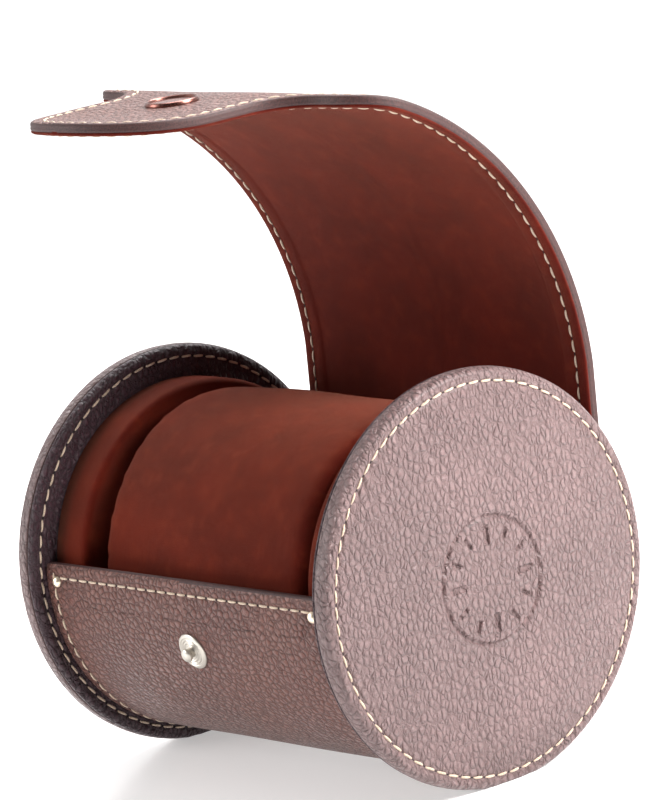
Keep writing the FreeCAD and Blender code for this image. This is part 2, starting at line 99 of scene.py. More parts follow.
def turned(name, profile, materials, mirror=False, around=228, shape=None):
    """Turn a profile of (x, r, slot) about the case's long axis; shape may move each point.

    What would go below the table is pressed flat on it.
    """
    rings = []
    side = -1.0 if mirror else 1.0
    for step in range(around):
        angle = 2 * math.pi * step / around
        ring = []
        for x, r, slot in profile:
            if shape is not None:
                x, r = shape(x, r, angle)
            z = AXIS_Z + r * math.sin(angle)
            ring.append((side * x, -r * math.cos(angle), max(z, 0.0)))
        rings.append(ring)
    obj = loft(name, rings, lambda row, column: profile[column][2], materials,
               wrap_ring=False, wrap_rows=True)
    tidy_normals(obj)
    return obj


def tidy_normals(obj):
    """Merge points that meet and turn all faces outwards."""
    work = bmesh.new()
    work.from_mesh(obj.data)
    bmesh.ops.remove_doubles(work, verts=work.verts, dist=1e-7)
    bmesh.ops.recalc_face_normals(work, faces=work.faces)
    work.to_mesh(obj.data)
    work.free()


def join_meshes(name, parts, materials):
    """One object from many (points, faces, slot) parts."""
    points, faces, slots = [], [], []
    for part_points, part_faces, slot in parts:
        base = len(points)
        points.extend(part_points)
        faces.extend([tuple(base + i for i in face) for face in part_faces])
        slots.extend([slot] * len(part_faces))
    return finish_mesh(name, points, faces, slots, materials)


STITCH_PITCH = 3.7
STITCH_LENGTH = 2.9
THREAD_RADIUS = 0.27
HOLE_RADIUS = 0.3

# stations of one stitch: (place along it, share of the thread's radius, lift in radii)
STITCH_STATIONS = [(-0.5, 0.35, -0.45), (-0.42, 0.8, -0.1), (-0.2, 1.0, 0.35), (0.0, 1.05, 0.45),
                   (0.2, 1.0, 0.35), (0.42, 0.8, -0.1), (0.5, 0.35, -0.45)]


def stitch_part(centre, along, out):
    """A short rounded thread that dips into the leather at both ends."""
    across = along.cross(out).normalized()
    points, faces = [], []
    sides = 6
    for reach, fat, lift in STITCH_STATIONS:
        middle = centre + along * reach * STITCH_LENGTH + out * lift * THREAD_RADIUS
        for side in range(sides):
            turn = 2 * math.pi * side / sides
            ray = across * math.cos(turn) * 1.1 + out * math.sin(turn) * 0.8
            points.append(middle + ray * THREAD_RADIUS * fat)
    for row in range(len(STITCH_STATIONS) - 1):
        for side in range(sides):
            after = (side + 1) % sides
            a = row * sides
            faces.append((a + side, a + after, a + sides + after, a + sides + side))
    faces.append(tuple(range(sides))[::-1])
    faces.append(tuple(range(len(points) - sides, len(points))))
    return points, faces, 0


def hole_part(centre, along, out):
    """The pricked hole between two stitches: a dark disc of painted shade."""
    across = along.cross(out).normalized()
    sides = 8
    points = [centre + out * 0.03]
    for side in range(sides):
        turn = 2 * math.pi * side / sides
        ray = along * math.cos(turn) + across * math.sin(turn)
        points.append(centre + out * 0.05 + ray * HOLE_RADIUS)
    faces = [(0, 1 + side, 1 + (side + 1) % sides) for side in range(sides)]
    return points, faces, 1


# ---------------------------------------------------------------- materials

class Nodes:
    """Short calls for one material's node tree."""

    def __init__(self, name):
        self.material = bpy.data.materials.new(name)
        self.material.use_nodes = True
        self.tree = self.material.node_tree
        self.shader = self.tree.nodes["Principled BSDF"]

    def add(self, kind, inputs=None, **settings):
        node = self.tree.nodes.new(kind)
        for key, value in settings.items():
            setattr(node, key, value)
        for key, value in (inputs or {}).items():
            if isinstance(value, bpy.types.NodeSocket):
                self.tree.links.new(value, node.inputs[key])
            else:
                node.inputs[key].default_value = value
        return node

    def maths(self, operation, a, b=0.0, c=0.0):
        return self.add("ShaderNodeMath", {0: a, 1: b, 2: c}, operation=operation).outputs[0]

    def mix(self, factor, a, b, blend="MIX"):
        node = self.add("ShaderNodeMix", data_type="RGBA", blend_type=blend)
        for key, value in ((0, factor), (6, a), (7, b)):
            if isinstance(value, bpy.types.NodeSocket):
                self.tree.links.new(value, node.inputs[key])
            else:
                node.inputs[key].default_value = value
        return node.outputs[2]

    def spread(self, value, low, high, to_low=0.0, to_high=1.0):
        node = self.add("ShaderNodeMapRange", {0: value, 1: low, 2: high, 3: to_low, 4: to_high},
                        interpolation_type="SMOOTHSTEP")
        return node.outputs[0]

    def noise(self, where, scale, detail=2.0, rough=0.5):
        node = self.add("ShaderNodeTexNoise",
                        {"Vector": where, "Scale": scale, "Detail": detail, "Roughness": rough})
        return node.outputs["Fac"]

    def voronoi(self, feature, inputs):
        return self.add("ShaderNodeTexVoronoi", inputs, feature=feature).outputs["Distance"]

    def place(self, flat):
        """Coordinates in millimetres: the metric UVs, or the object's own space."""
        coords = self.add("ShaderNodeTexCoord")
        source = coords.outputs["UV" if flat else "Object"]
        size = UV_UNIT if flat else METRE
        node = self.add("ShaderNodeVectorMath", {0: source, 1: (size, size, size)},
                        operation="MULTIPLY")
        return node.outputs[0]

    def bump(self, height, strength, distance_mm, normal=None):
        inputs = {"Height": height, "Strength": strength, "Distance": distance_mm * MM}
        if normal is not None:
            inputs["Normal"] = normal
        return self.add("ShaderNodeBump", inputs).outputs[0]

    def drive(self, **links):
        for key, value in links.items():
            self.tree.links.new(value, self.shader.inputs[key.replace("_", " ")])

    def fix(self, **values):
        for key, value in values.items():
            self.shader.inputs[key.replace("_", " ")].default_value = value


def rgb(text):
    """A linear colour from an sRGB hex code."""
    parts = [int(text[i:i + 2], 16) / 255 for i in (0, 2, 4)]
    linear = [c / 12.92 if c <= 0.04045 else ((c + 0.055) / 1.055) ** 2.4 for c in parts]
    return (*linear, 1.0)


def leather(name, main, deep, bright, flat, cell=1.75, grain=0.5, rough=0.38, gloss=0.4,
            shade=0.5):
    """Pebble-grained leather: plump cells between fine creases, small pores, broad mottling.

    cell and grain are the size and depth of a pebble; shade is how far painted shade darkens the
    creases.
    """
    n = Nodes(name)
    where = n.place(flat)
    drift = n.add("ShaderNodeTexNoise", {"Vector": where, "Scale": 0.55, "Detail": 3.0})
    bent = n.add("ShaderNodeVectorMath", {0: drift.outputs["Color"], 1: (1.3, 1.3, 1.3), 2: where},
                 operation="MULTIPLY_ADD").outputs[0]
    drawn = n.add("ShaderNodeVectorMath", {0: bent, 1: (1.0, 1.25, 0.8)},
                  operation="MULTIPLY").outputs[0]
    pebbles = {"Vector": drawn, "Scale": 1.0 / cell, "Randomness": 0.95}
    cells = n.voronoi("DISTANCE_TO_EDGE", pebbles)
    rounds = n.voronoi("SMOOTH_F1", {**pebbles, "Smoothness": 0.6})
    small = n.voronoi("DISTANCE_TO_EDGE", {"Vector": bent, "Scale": 2.4 / cell})
    crease = n.maths("SUBTRACT", 1.0, n.spread(cells, 0.0, 0.2))
    plump = n.maths("SUBTRACT", 1.0, n.spread(rounds, 0.1, 0.75))
    fine = n.spread(small, 0.0, 0.16)
    pores = n.noise(where, 6.5, 3.0, 0.7)
    broad = n.noise(where, 0.04, 3.0, 0.55)
    depth = n.spread(n.noise(where, 0.16, 2.0, 0.5), 0.3, 0.6, 0.55, 1.0)
    height = n.maths("MULTIPLY_ADD", crease, n.maths("MULTIPLY", depth, -0.8), plump)
    height = n.maths("MULTIPLY_ADD", fine, 0.16, height)
    height = n.maths("MULTIPLY_ADD", pores, 0.16, height)
    tone = n.mix(n.spread(broad, 0.3, 0.7), main, bright)
    tint = n.spread(n.noise(where, 0.9, 2.0, 0.5), 0.3, 0.75, 0.0, 0.22)
    tone = n.mix(tint, tone, deep)
    # painted shade: the creases are darkened towards the deep colour
    tone = n.mix(n.maths("MULTIPLY", crease, shade), tone, deep)
    polish = n.spread(broad, 0.25, 0.75, rough - 0.06, rough + 0.07)
    n.drive(Base_Color=tone, Normal=n.bump(height, 1.0, grain),
            Roughness=n.maths("MULTIPLY_ADD", crease, 0.2, polish))
    n.fix(Sheen_Weight=0.05, Sheen_Roughness=0.5, Coat_Weight=0.3 * gloss, Coat_Roughness=0.34,
          Specular_IOR_Level=gloss)
    return n.material


def suede(name, main, deep, bright, flat):
    """Brushed suede: a short nap, faint stroked patches and fine fibre."""
    n = Nodes(name)
    where = n.place(flat)
    stroke = n.noise(where, 0.06, 4.0, 0.55)
    patch = n.noise(where, 0.24, 4.0, 0.6)
    fibre = n.noise(where, 7.5, 4.0, 0.75)
    nap = n.noise(where, 2.2, 3.0, 0.7)
    tone = n.mix(n.spread(stroke, 0.25, 0.75, 0.35, 1.0), deep, main)
    tone = n.mix(n.spread(patch, 0.48, 0.78, 0.0, 0.3), tone, bright)
    tone = n.mix(n.spread(fibre, 0.4, 0.7, 0.0, 0.65), tone, deep)
    height = n.maths("MULTIPLY_ADD", nap, 0.55, fibre)
    n.drive(Base_Color=tone, Normal=n.bump(height, 0.9, 0.3))
    n.fix(Roughness=0.95, Sheen_Weight=0.22, Sheen_Roughness=0.4, Specular_IOR_Level=0.12)
    n.fix(Sheen_Tint=(1.0, 0.42, 0.26, 1.0))
    return n.material


def cut_edge(name, main, deep):
    """The painted cut edge of the leather: thin layers and a little fuzz."""
    n = Nodes(name)
    where = n.place(False)
    layers = n.noise(where, 3.2, 3.0, 0.6)
    tone = n.mix(n.spread(layers, 0.35, 0.65), main, deep)
    n.drive(Base_Color=tone, Normal=n.bump(layers, 0.5, 0.12))
    n.fix(Roughness=0.62)
    return n.material


def thread(name, main, deep):
    """Waxed linen thread."""
    n = Nodes(name)
    where = n.place(False)
    twist = n.noise(where, 5.0, 3.0, 0.6)
    n.drive(Base_Color=n.mix(n.spread(twist, 0.35, 0.7), main, deep),
            Normal=n.bump(twist, 0.7, 0.12))
    n.fix(Roughness=0.72, Sheen_Weight=0.25)
    return n.material


def metal(name, colour, rough):
    """Polished plated metal with faint handling marks."""
    n = Nodes(name)
    where = n.place(False)
    marks = n.noise(where, 4.0, 4.0, 0.65)
    n.drive(Roughness=n.spread(marks, 0.3, 0.75, rough, rough + 0.14),
            Normal=n.bump(n.noise(where, 1.6, 2.0), 0.12, 0.05))
    n.fix(Metallic=1.0, Base_Color=colour)
    return n.material


def painted_hole_shade(name, main, deep):
    """Painted shade for the pricked holes: a dull, dark colour with a faint grain."""
    n = Nodes(name)
    where = n.place(False)
    grain = n.noise(where, 1.4, 4.0, 0.6)
    n.drive(Base_Color=n.mix(n.spread(grain, 0.3, 0.7), main, deep), Normal=n.bump(grain, 0.4, 0.1))
    n.fix(Roughness=0.85)
    return n.material


DISC_LEATHER = leather("disc_leather", rgb("6E5352"), rgb("38201F"), rgb("7C605F"), False,
                       gloss=0.66, shade=0.28)
# the inner faces: the same leather as the discs, darkened as painted shade
INNER_LEATHER_SHADED = leather("inner_leather", rgb("3C2029"), rgb("1E0E15"), rgb("452932"), False)
WRAP_LEATHER = leather("wrap_leather", rgb("6F4138"), rgb("2C1210"), rgb("7B4D42"), True,
                       gloss=0.36)
SUEDE_SOLID = suede("suede", rgb("6A1D0E"), rgb("420D06"), rgb("8A3820"), False)
# the lid's lining: the same suede, set a little darker as painted shade
SUEDE_FLAT = suede("suede_lining", rgb("661A10"), rgb("3E0B09"), rgb("86341E"), True)
EDGE = cut_edge("leather_edge", rgb("4A2A28"), rgb("2A1413"))
THREAD = thread("thread", rgb("DCC8B2"), rgb("A88F78"))
# the stitch holes: painted shade
HOLE = painted_hole_shade("stitch_hole_shade", rgb("1E1010"), rgb("140A0A"))
CHROME = metal("snap_metal", (0.52, 0.48, 0.43, 1.0), 0.33)
CAP_METAL = metal("cap_metal", (0.20, 0.085, 0.07, 1.0), 0.22)
RIVET = metal("rivet_metal", (0.86, 0.72, 0.56, 1.0), 0.26)

# ---------------------------------------------------------------- the end discs

DISC_FACE = 51.1  # x of a disc's inner face
SEAM_X = 56.9  # x of its outer face beside the seam
SEAM_R = 44.9

# (x from the inner face, r, slot) from the centre of the inner face to the rim's outer corner;
# on a disc slot 0 is the outer leather, 1 the inner leather (darkened as painted shade) and 2 the
# cut edge
DISC_INNER_ROWS = [(0.0, 0.0, 1), (0.0, 20.0, 1), (0.0, 40.0, 1), (0.0, 43.0, 1),
                   (0.02, 44.0, 1), (0.22, 44.7, 1), (0.3, SEAM_R, 1), (0.22, 45.2, 1),
                   (0.0, 45.8, 1), (0.05, 46.6, 1), (0.35, 47.3, 1), (0.9, 47.72, 1),
                   (1.3, 47.8, 1), (1.45, 47.5, 2), (1.6, 47.5, 2), (1.75, 47.85, 0),
                   (2.3, 48.0, 0), (3.2, 48.0, 0), (4.1, 47.86, 0)]
# (x from SEAM_X, r) down into the seam groove and out of it
SEAM_GROOVE = [(0.02, 45.9), (-0.1, 45.45), (-0.34, 45.1), (-0.4, SEAM_R), (-0.32, 44.65),
               (-0.02, 44.2)]
DIAL_R = 18.0  # the outer face is finer inside this radius


def disc_profile():
    """(x, r, slot) from the middle of the inner face, round the rim, to the outer centre."""
    rows = [(DISC_FACE + x, r, slot) for x, r, slot in DISC_INNER_ROWS]
    for turn in (20, 40, 60, 78):
        angle = math.radians(turn)
        rows.append((SEAM_X - 1.6 + 1.65 * math.sin(angle), 46.2 + 1.66 * math.cos(angle), 0))
    rows += [(SEAM_X + x, r, 0) for x, r in SEAM_GROOVE]
    radius = 43.6
    while radius > 0.5:
        rows.append((dome(radius), radius, 0))
        radius -= 1.3 if radius > DIAL_R else 0.33
    rows.append((dome(0.0), 0.0, 0))
    return rows


def dome(radius):
    """Outer face of a padded disc: full in the middle, drawn down at the seam."""
    return SEAM_X + 1.2 * (1.0 - (radius / SEAM_R) ** 3.2)


RING_R = 14.6
TICK_FROM, TICK_TO = 9.6, 12.6
DIAL_DEPTH = 0.62
SEAM_COUNT = round(2 * math.pi * SEAM_R / STITCH_PITCH)


def band(value, low, high, soft):
    """1 between low and high, falling to 0 over soft."""
    rise = min(max((value - low) / soft + 0.5, 0.0), 1.0)
    fall = min(max((high - value) / soft + 0.5, 0.0), 1.0)
    return rise * rise * (3 - 2 * rise) * fall * fall * (3 - 2 * fall)


def dial(radius, angle):
    """How deep the pressed dial motif is here: a ring and twelve marks."""
    deep = band(radius, RING_R - 0.45, RING_R + 0.45, 0.5)
    step = math.pi / 6
    nearest = round(angle / step)
    away = abs(angle - nearest * step) * radius
    quarter = nearest % 3 == 0
    wide = 0.75 if quarter else 0.45
    inner = TICK_FROM - (1.6 if quarter else 0.0)
    deep = max(deep, band(radius, inner, TICK_TO, 0.5) * band(away, -1.0, wide, 0.4))
    return DIAL_DEPTH * deep


def disc_shape(pressed):
    """Puckers at the seam, a slow unevenness, and the pressed motif on one disc."""
    def move(x, r, angle):
        if x > SEAM_X - 1.0:
            near = math.exp(-((r - SEAM_R) / 1.6) ** 2)
            x -= 0.10 * near * math.cos(SEAM_COUNT * angle)
            inside = min(r / 30.0, 1.0) * max(0.0, 1.0 - (r / 47.0) ** 4)
            x += 0.10 * inside * math.sin(3 * angle + 0.7) * math.cos(2 * angle + r * 0.09)
            if pressed and r < DIAL_R:
                x -= dial(r, angle)
        return x, r
    return move


def disc_stitches(name, x, facing):
    """A ring of stitches and holes on one face of a disc; facing is 1 towards +X, or -1."""
    parts = []
    out = Vector((facing, 0, 0))
    for half_step in range(2 * SEAM_COUNT):
        angle = math.pi * half_step / SEAM_COUNT
        centre = Vector((x, -SEAM_R * math.cos(angle), AXIS_Z + SEAM_R * math.sin(angle)))
        along = Vector((0.0, math.sin(angle), math.cos(angle)))
        if half_step % 2:
            parts.append(hole_part(centre + out * 0.10, along, out))
        else:
            outward = Vector((0.0, -math.cos(angle), math.sin(angle)))
            slant = (along + outward * 0.07).normalized()
            parts.append(stitch_part(centre + out * 0.12, slant, out))
    obj = join_meshes(name, parts, [THREAD, HOLE])
    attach(obj, "case")


for side, mirror in (("right", False), ("left", True)):
    sign = -1.0 if mirror else 1.0
    disc = turned(side + "_disc", disc_profile(), [DISC_LEATHER, INNER_LEATHER_SHADED, EDGE], mirror,
                  around=456, shape=disc_shape(not mirror))
    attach(disc, "case")
    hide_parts(*[side + "_disc_" + layer
                        for layer in ("inner_leather", "board", "padding", "outer_leather")])
    disc_stitches(side + "_disc_outer_seam", sign * (SEAM_X - 0.4), sign)
    disc_stitches(side + "_disc_inner_seam", sign * (DISC_FACE + 0.3), -sign)

# ---------------------------------------------------------------- the wrap: tray and lid

LINING_R = 41.1  # radius of the tray's lining line
HINGE_DROP = 4.5  # how far the hinge line lies below the axis
THICK = 2.8
FRONT_UP = 8.0  # degrees from the level front up to the tray's front edge

# the lid's strips in order: (shape, length or radius, heading in degrees, turn in degrees)
STRIPS = [("straight", 21.8, 86.6, 0.0), ("straight", 21.8, 86.6, 0.0)]
STRIPS += [("curve", 74.7, 90.0 + 16.5 * k, 16.5) for k in range(4)]
STRIPS += [("curve", 37.8, 156.0, 24.0), ("straight", 18.0, 180.0, 0.0)]
STRIPS += [("upturn", 143.2, 180.0, 5.2), ("upturn", 143.2, 174.8, 5.2)]


def strip_length(strip):
    """Length of a strip along the lining line."""
    shape, size, heading, turn = strip
    return size if shape == "straight" else size * math.radians(turn)


def along_strip(strip, start, reach):
    """(y, z, heading in degrees) at a distance along a strip that starts at start."""
    shape, size, heading, turn = strip
    angle = math.radians(heading)
    if shape == "straight":
        return start[0] + reach * math.cos(angle), start[1] + reach * math.sin(angle), heading
    bend = reach / size if shape == "curve" else -reach / size
    hub = size if shape == "curve" else -size
    centre = (start[0] - hub * math.sin(angle), start[1] + hub * math.cos(angle))
    after = angle + bend
    return (centre[0] + hub * math.sin(after), centre[1] - hub * math.cos(after),
            math.degrees(after))


STARTS = []
AT = [0.0]
spot = (math.sqrt(LINING_R ** 2 - HINGE_DROP ** 2), AXIS_Z - HINGE_DROP)
for strip in STRIPS:
    STARTS.append(spot)
    far = along_strip(strip, spot, strip_length(strip))
    spot = (far[0], far[1])
    AT.append(AT[-1] + strip_length(strip))
HINGE_ANGLE = math.asin(HINGE_DROP / LINING_R)
FRONT_S = -LINING_R * (math.pi + math.radians(FRONT_UP) - HINGE_ANGLE)


def wrap_frame(s):
    """(y, z) on the lining line and the heading in radians; s is 0 at the hinge."""
    if s < 0.0:
        angle = -HINGE_ANGLE + s / LINING_R
        return (LINING_R * math.cos(angle), AXIS_Z + LINING_R * math.sin(angle),
                angle + math.pi / 2)
    number = 0
    while number < len(STRIPS) - 1 and s > AT[number + 1]:
        number += 1
    y, z, heading = along_strip(STRIPS[number], STARTS[number], s - AT[number])
    return y, z, math.radians(heading)


SOFTEN = 1.2  # the lid's bends are eased over this much to either side


def wrap_point(x, s, t):
    """A point of the wrap: x across, s along, t out from the lining face."""
    y, z, heading = wrap_frame(s)
    if s > -SOFTEN:
        before, after = wrap_frame(s - SOFTEN)[2], wrap_frame(s + SOFTEN)[2]
        heading = (before + heading + after) / 3
    return Vector((x, y + t * math.sin(heading), z - t * math.cos(heading)))


def wrap_out(s):
    """The outward direction at s."""
    heading = wrap_frame(s)[2]
    return Vector((0.0, math.sin(heading), -math.cos(heading)))


def wrap_along(s):
    """The direction in which s grows."""
    heading = wrap_frame(s)[2]
    return Vector((0.0, math.cos(heading), math.sin(heading)))


LID_HALF = 50.6
LID_FOOT = -7.0  # s where the tray's piece ends and the lid's first piece begins
TONGUE_HALF = 26.0
SHOULDER = 12.3
TRAY_HALF = 51.05
TRAY_CORNER = (TRAY_HALF, FRONT_S)


def arc(cx, cs, radius, first, last, step=0.7):
    """Outline points on an arc, with outward normals; angles in degrees from +x towards +s."""
    count = max(3, int(abs(math.radians(last - first)) * radius / step))
    rows = []
    for k in range(count + 1):
        a = math.radians(first + (last - first) * k / count)
        nx, ns = math.cos(a), math.sin(a)
        rows.append((cx + radius * nx, cs + radius * ns, nx, ns))
    return rows


def line(x, first, last, step=1.7):
    """Outline points on an edge that runs along s."""
    count = max(1, int(abs(last - first) / step))
    return [(x, first + (last - first) * k / count, 1.0, 0.0) for k in range(count + 1)]


def lid_outline():
    """Right-hand outline of the lid from behind the hinge to the tip: (x, s, nx, ns)."""
    neck = AT[6]
    rows = line(LID_HALF, LID_FOOT, neck - 0.4)
    rows += arc(LID_HALF - SHOULDER, neck, SHOULDER, 0, 86)
    bite = arc(TONGUE_HALF + SHOULDER, neck + 2 * SHOULDER, SHOULDER, 266, 180)
    rows += [(x, s, -nx, -ns) for x, s, nx, ns in bite]
    round_at = AT[10] - TONGUE_HALF - 0.55
    rows += line(TONGUE_HALF, neck + 2 * SHOULDER + 0.8, round_at - 0.4)
    rows += arc(0.0, round_at, TONGUE_HALF, 0, 88)
    return rows


def tray_outline():
    """Right-hand outline of the tray, from its front edge to the hinge."""
    corner = 1.6
    rows = [(x, FRONT_S, 0.0, -1.0) for x in (0.3, 1.2, 3.0, 7.0, 16.0, 28.0, 40.0, 48.0)]
    rows += arc(TRAY_HALF - corner, FRONT_S + corner, corner, -90, 0, 0.4)
    rows += line(TRAY_HALF, FRONT_S + corner + 1.2, LID_FOOT)
    return rows


# section of the wrap's edge from the leather round to the suede: (inset, t) by material
EDGE_SECTION = (
    (LEATHER, [(9.0, 2.8), (6.5, 2.8), (4.6, 2.8), (3.7, 2.72), (3.2, 2.52), (2.7, 2.72),
               (2.0, 2.82), (1.2, 2.84), (0.6, 2.74)]),
    (CUT, [(0.22, 2.5), (0.05, 2.2), (0.0, 1.8), (0.12, 1.5), (0.0, 1.2), (0.06, 0.8)]),
    (SUEDE, [(0.3, 0.62), (0.12, 0.42), (0.25, 0.1), (0.7, -0.12), (1.6, -0.2), (2.7, -0.18),
             (3.2, -0.02), (3.7, -0.18), (5.2, -0.22), (6.6, -0.2), (7.2, 0.0), (7.6, 0.06),
             (9.0, 0.0)]))
EDGE_PROFILE = [(inset, t, slot) for slot, points in EDGE_SECTION for inset, t in points]
MIDDLE_COLUMNS = 18


def inset_point(row, inset, square):
    """(x, s) at an inset from an outline row; square, (half width, front s), mitres corners."""
    x, s, nx, ns = row
    if square is None:
        return x - inset * nx, s - inset * ns
    return min(x - inset * nx, square[0] - inset), max(s - inset * ns, square[1] + inset)


def ring_of(row, square):
    """One closed ring of (x, s, t, slot) at an outline row."""
    x, s, nx, ns = row
    right = []
    for inset, t, slot in EDGE_PROFILE:
        depth = min(inset, max(x - 0.4, 0.05)) if nx > 0.6 else inset
        if ns < -0.9 and inset > 8.0:
            depth = inset - 1.1 * (1.0 - x / LID_HALF)
        px, ps = inset_point(row, depth, square)
        right.append((max(px, 0.02 * (1 + len(right) * 0.01)), ps, t, slot))
    left = [(-px, ps, t, slot) for px, ps, t, slot in reversed(right)]
    return right + middle_points(right[-1], 1.0) + left + middle_points(right[0], -1.0)


def middle_points(end, sign):
    """The points between an end on the right and its mirror image, from side sign across."""
    x, s, t, slot = end
    points = []
    for k in range(1, MIDDLE_COLUMNS):
        here = x * sign * (1 - 2 * k / MIDDLE_COLUMNS)
        points.append((here, s, t + soft_wave(here, s), slot))
    return points


def soft_wave(x, s):
    """The slight unevenness of hand-glued leather."""
    return 0.10 * math.sin(x * 0.11 + 0.4) * math.sin(s * 0.09 + 1.3)


def metric_uv(x, s, t, slot):
    """UVs that keep true lengths across the wrap and round its edge."""
    round_edge = 0.0 if slot == LEATHER else THICK - t
    side = 1 if x > 0 else -1
    return (x + round_edge * side) / UV_UNIT, s / UV_UNIT


def wrap_piece(name, rows, square=None):
    """Skin part of the wrap from outline rows; gives the object and its rings."""
    rings, uvs = [], []
    for row in rows:
        flat = ring_of(row, square)
        rings.append([wrap_point(x, s, t) for x, s, t, slot in flat])
        uvs.append([metric_uv(*point) for point in flat])
    slots = [slot for x, s, t, slot in flat]
    turn = len(EDGE_PROFILE) + MIDDLE_COLUMNS - 1

    def slot_of(row, column):
        here, after = slots[column], slots[(column + 1) % len(slots)]
        return max(here, after) if column < turn else after
    return loft(name, rings, slot_of, [WRAP_LEATHER, SUEDE_FLAT, EDGE], uvs), rings


def close_end(obj, rings, last, finished):
    """Close one end: across the edge profile if it is a finished edge, or flat at a cut."""
    size = len(rings[0])
    base = (len(rings) - 1) * size if last else 0
    right = list(range(len(EDGE_PROFILE)))
    inner = list(range(right[-1] + 1, right[-1] + MIDDLE_COLUMNS))
    left = [inner[-1] + 1 + k for k in range(len(EDGE_PROFILE))][::-1]
    outer = list(range(left[0] + 1, size))
    work = bmesh.new()
    work.from_mesh(obj.data)
    work.verts.ensure_lookup_table()
    loops = [list(range(size))]
    if finished:
        loops = [[right[k], right[k + 1], left[k + 1], left[k]] for k in range(1, len(right) - 2)]
        loops.append([right[-2], right[-1]] + inner + [left[-1], left[-2]])
        loops.append([right[1], left[1], left[0]] + outer + [right[0]])
    slots = [row[2] for row in EDGE_PROFILE]
    for loop in loops:
        face = work.faces.new([work.verts[base + k] for k in loop])
        face.smooth = True
        low = min(loop)
        face.material_index = slots[low + 1] if finished and low + 1 < len(slots) else CUT
    if not finished:
        for edge in face.edges:
            edge.smooth = False
    bmesh.ops.recalc_face_normals(work, faces=work.faces)
    work.to_mesh(obj.data)
    work.free()


def seam_path(rows, inset, square=None):
    """Points (x, s) of the seam line inside an outline, on the right-hand side."""
    return [inset_point(row, inset, square) for row in rows]


def resample(path, pitch):
    """(x, s, dx, ds) at every half pitch along a path, with unit direction."""
    path = [path[0]] + [b for a, b in zip(path, path[1:]) if math.dist(a, b) > 0.01]
    lengths = [0.0]
    for a, b in zip(path, path[1:]):
        lengths.append(lengths[-1] + math.dist(a, b))
    count = max(2, round(lengths[-1] / pitch))
    out = []
    k = 0
    for number in range(count * 2 + 1):
        want = lengths[-1] * number / (count * 2)
        while k < len(path) - 2 and lengths[k + 1] < want:
            k += 1
        span = max(lengths[k + 1] - lengths[k], 1e-6)
        part = (want - lengths[k]) / span
        a, b = path[k], path[k + 1]
        out.append((a[0] + (b[0] - a[0]) * part, a[1] + (b[1] - a[1]) * part,
                    (b[0] - a[0]) / span, (b[1] - a[1]) / span))
    return out


def seam_parts(path, faces_t):
    """Holes and stitches along a path, on each (t, facing) face, as (s, part)."""
    parts = []
    for number, (x, s, dx, ds) in enumerate(resample(path, STITCH_PITCH)):
        along = (Vector((dx, 0, 0)) + wrap_along(s) * ds).normalized()
        for t, facing in faces_t:
            out = wrap_out(s) * facing
            centre = wrap_point(x, s, t)
            if number % 2:
                parts.append((s, stitch_part(centre + out * 0.12, along, out)))
            else:
                parts.append((s, hole_part(centre + out * 0.08, along, out)))
    return parts


OUTER_T, INNER_T = 2.54, -0.02  # depth of the seam groove on either face
SEAM_INSET = 3.2
lid_rows = lid_outline()
cuts = [LID_FOOT] + [(a + b) / 2 for a, b in zip(AT, AT[1:])]
lid_path = seam_path([row for row in lid_rows if row[1] > -3.0], SEAM_INSET)
lid_path += [(-x, s) for x, s in reversed(lid_path)]
lid_seam = seam_parts(lid_path, ((OUTER_T, 1.0), (INNER_T, -1.0)))

index_cuts = [0]
for cut_at in cuts[1:]:
    index_cuts.append(next(k for k, row in enumerate(lid_rows) if row[1] >= cut_at))
index_cuts.append(len(lid_rows) - 1)
LAST = len(cuts) - 1
for number in range(len(cuts)):
    first, last = index_cuts[number], index_cuts[number + 1]
    piece, rings = wrap_piece("lid_strip_%d" % number, lid_rows[first:last + 1])
    close_end(piece, rings, False, False)
    close_end(piece, rings, True, number == LAST)
    low_s = -math.inf if number == 0 else cuts[number]
    high_s = math.inf if number == LAST else cuts[number + 1]
    seam = join_meshes("lid_seam_%d" % number,
                       [part for s, part in lid_seam if low_s <= s < high_s], [THREAD, HOLE])
    if number < LAST:
        start = wrap_point(0, cuts[number], THICK / 2) * MM
        stop = wrap_point(0, cuts[number + 1], THICK / 2) * MM
        for obj in (piece, seam):
            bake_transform(obj)
    else:
        for obj in (piece, seam):
            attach(obj, "lid_10")
    strip_number = min(number + 1, 10)
    gone = ["lid_%s_%d" % (layer, strip_number) for layer in ("leather", "board", "lining")]
    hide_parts(*[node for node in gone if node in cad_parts])

tray_rows = tray_outline()
tray, tray_rings = wrap_piece("tray", tray_rows, TRAY_CORNER)
close_end(tray, tray_rings, False, True)
close_end(tray, tray_rings, True, False)
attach(tray, "case")
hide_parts("tray_leather", "tray_board", "tray_lining")
tray_path = seam_path(tray_rows, SEAM_INSET, TRAY_CORNER)
tray_path = [(-x, s) for x, s in reversed(tray_path)] + tray_path
tray_parts = seam_parts(tray_path, ((OUTER_T, 1.0),))
tray_seam = join_meshes("tray_seam", [part for s, part in tray_parts], [THREAD, HOLE])
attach(tray_seam, "case")

# ---------------------------------------------------------------- collars and cushion

def collar_profile():
    """A suede-covered plug against each disc, rounded at its inner edge."""
    rows = [(51.0, 38.0, 0), (51.0, 40.15, 0), (46.0, 40.2, 0), (43.2, 40.2, 0)]
    for turn in range(10, 91, 16):
        angle = math.radians(turn)
        rows.append((42.2 - 1.6 * math.sin(angle), 38.6 + 1.6 * math.cos(angle), 0))
    rows += [(40.62, 37.0, 0), (40.75, 35.0, 0), (40.9, 20.0, 0), (40.9, 0.0, 0)]
    return rows


for side, mirror in (("right", False), ("left", True)):
    collar = turned(side + "_collar", collar_profile(), [SUEDE_SOLID], mirror)
    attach(collar, "case")
    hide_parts(side + "_collar_core", side + "_collar_cover")


